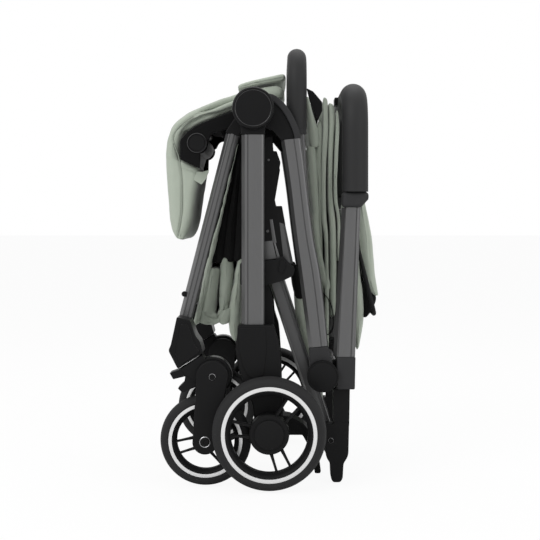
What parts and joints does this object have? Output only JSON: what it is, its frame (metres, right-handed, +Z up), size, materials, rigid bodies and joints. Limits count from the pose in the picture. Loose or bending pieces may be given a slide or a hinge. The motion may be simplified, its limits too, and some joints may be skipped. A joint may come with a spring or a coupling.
{
  "type": "folding pushchair",
  "caption": "Compact folding pushchair, shown folded and standing on its wheels and handle feet, with swivel front wheels, bumper bar, push handle, seat and canopy.",
  "frame": {"origin": "middle of the bounding box, on the floor", "axes": "+Z up, -X towards the front wheels, +X towards the push handle, -Y the chair's left side"},
  "size_m": [0.3567, 0.4652, 0.7064],
  "materials": {
    "gunmetal_tube": "satin",
    "black_plastic": "matte",
    "tyre_rubber": "matte",
    "grip_leatherette": "fine grain",
    "steel": "bright",
    "sage_fabric": "woven",
    "black_mesh": "net"
  },
  "bodies": {
    "chassis": {"rear_leg_left": "gunmetal_tube", "rear_leg_right": "gunmetal_tube", "rear_housing_left": "black_plastic", "rear_housing_right": "black_plastic", "hub_socket_left": "black_plastic", "hub_socket_right": "black_plastic", "hub_cover_left": "black_plastic", "hub_cover_right": "black_plastic", "hub_shaft": "steel", "rear_axle": "steel", "strut_bracket_left": "black_plastic", "strut_bracket_right": "black_plastic"},
    "armrests": {"armrest_tube_left": "gunmetal_tube", "armrest_tube_right": "gunmetal_tube", "armrest_elbow_left": "black_plastic", "armrest_elbow_right": "black_plastic", "armrest_end_left": "black_plastic", "armrest_end_right": "black_plastic", "lap_cap_left": "black_plastic", "lap_cap_right": "black_plastic"},
    "bumper": {"bumper_bar": "grip_leatherette"},
    "handle": {"handle_tube_left": "gunmetal_tube", "handle_tube_right": "gunmetal_tube", "handle_collar_left": "black_plastic", "handle_collar_right": "black_plastic", "handle_joint_left": "black_plastic", "handle_joint_right": "black_plastic", "handle_arm_left": "black_plastic", "handle_arm_right": "black_plastic", "handle_grip": "grip_leatherette", "handle_cross_bar": "gunmetal_tube", "backrest": "sage_fabric", "canopy": "sage_fabric"},
    "release": {"release_button": "black_plastic"},
    "canopy_bow_body": {"canopy_bow": "black_plastic"},
    "struts": {"strut_left": "gunmetal_tube", "strut_right": "gunmetal_tube", "strut_cross_bar": "black_plastic"},
    "front_frame": {"front_leg_left": "gunmetal_tube", "front_leg_right": "gunmetal_tube", "front_foot_left": "black_plastic", "front_foot_right": "black_plastic", "front_cross_bar": "black_plastic", "basket": "sage_fabric"},
    "seat": {"seat_frame": "gunmetal_tube", "seat_pad": "sage_fabric", "back_mesh": "black_mesh"},
    "legrest": {"legrest_board": "black_plastic", "legrest_pad": "sage_fabric"},
    "caster_left": {"caster_fork_left": "black_plastic"},
    "caster_right": {"caster_fork_right": "black_plastic"},
    "front_wheel_left": {"front_rim_left": "black_plastic", "front_tyre_left": "tyre_rubber"},
    "front_wheel_right": {"front_rim_right": "black_plastic", "front_tyre_right": "tyre_rubber"},
    "rear_wheel_left": {"rear_rim_left": "black_plastic", "rear_tyre_left": "tyre_rubber"},
    "rear_wheel_right": {"rear_rim_right": "black_plastic", "rear_tyre_right": "tyre_rubber"},
    "brake": {"brake_pedal": "black_plastic"}
  },
  "joints": [
    {"name": "main_fold", "type": "hinge", "parent": "chassis", "child": "armrests", "pos_m": [-0.0295, 0, 0.5975], "axis": [0, -1, 0], "range_deg": [0, 64]},
    {"name": "handle_fold", "type": "hinge", "parent": "armrests", "child": "handle", "pos_m": [0.0807, 0, 0.1721], "axis": [0, -1, 0], "range_deg": [-115, 0], "deforming": ["backrest"]},
    {"name": "strut_fold", "type": "hinge", "parent": "chassis", "child": "struts", "pos_m": [-0.0067, 0, 0.3605], "axis": [0, -1, 0], "range_deg": [0, 82.3]},
    {"name": "front_fold", "type": "hinge", "parent": "chassis", "child": "front_frame", "pos_m": [-0.0295, 0, 0.5975], "axis": [0, -1, 0], "range_deg": [-72.6, 0], "deforming": ["basket"]},
    {"name": "seat_fold", "type": "hinge", "parent": "chassis", "child": "seat", "pos_m": [-0.0295, 0, 0.5975], "axis": [0, -1, 0], "range_deg": [-34, 0], "deforming": ["back_mesh"]},
    {"name": "bumper_pull", "type": "slide", "parent": "armrests", "child": "bumper", "axis": [0, 0, 1], "range_m": [0, 0.08]},
    {"name": "legrest_fold", "type": "hinge", "parent": "seat", "child": "legrest", "pos_m": [-0.1234, 0, 0.5475], "axis": [0, -1, 0], "range_deg": [-75, 0], "deforming": ["seat_pad"]},
    {"name": "canopy_fold", "type": "hinge", "parent": "handle", "child": "canopy_bow_body", "pos_m": [0.1315, 0, 0.4045], "axis": [0, -1, 0], "range_deg": [0, 120], "deforming": ["canopy"]},
    {"name": "release_press", "type": "slide", "parent": "handle", "child": "release", "axis": [1, 0, 0], "range_m": [0, 0.004], "stiffness_N_per_m": 800},
    {"name": "brake_press", "type": "hinge", "parent": "chassis", "child": "brake", "pos_m": [-0.0041, 0, 0.089], "axis": [0, -1, 0], "range_deg": [0, 8]},
    {"name": "caster_swivel_left", "type": "hinge", "parent": "front_frame", "child": "caster_left", "pos_m": [-0.1279, -0.1731, 0.1991], "axis": [0.5402, 0, -0.8415], "range_deg": [-3, 12]},
    {"name": "front_wheel_spin_left", "type": "hinge", "parent": "caster_left", "child": "front_wheel_left", "pos_m": [-0.1052, -0.1731, 0.0722], "axis": [0, 1, 0], "continuous": true},
    {"name": "rear_wheel_spin_left", "type": "hinge", "parent": "chassis", "child": "rear_wheel_left", "pos_m": [-0.0041, -0.2151, 0.089], "axis": [0, 1, 0], "continuous": true},
    {"name": "caster_swivel_right", "type": "hinge", "parent": "front_frame", "child": "caster_right", "pos_m": [-0.1279, 0.1731, 0.1991], "axis": [0.5402, 0, -0.8415], "range_deg": [-12, 3]},
    {"name": "front_wheel_spin_right", "type": "hinge", "parent": "caster_right", "child": "front_wheel_right", "pos_m": [-0.1052, 0.1731, 0.0722], "axis": [0, 1, 0], "continuous": true},
    {"name": "rear_wheel_spin_right", "type": "hinge", "parent": "chassis", "child": "rear_wheel_right", "pos_m": [-0.0041, 0.2151, 0.089], "axis": [0, 1, 0], "continuous": true}
  ],
  "couplings": [
    {"joint": "handle_fold", "follows": "main_fold", "ratio": -1.7969},
    {"joint": "strut_fold", "follows": "main_fold", "ratio": 1.2859},
    {"joint": "front_fold", "follows": "main_fold", "ratio": -1.1344},
    {"joint": "seat_fold", "follows": "main_fold", "ratio": -0.53125}
  ]
}
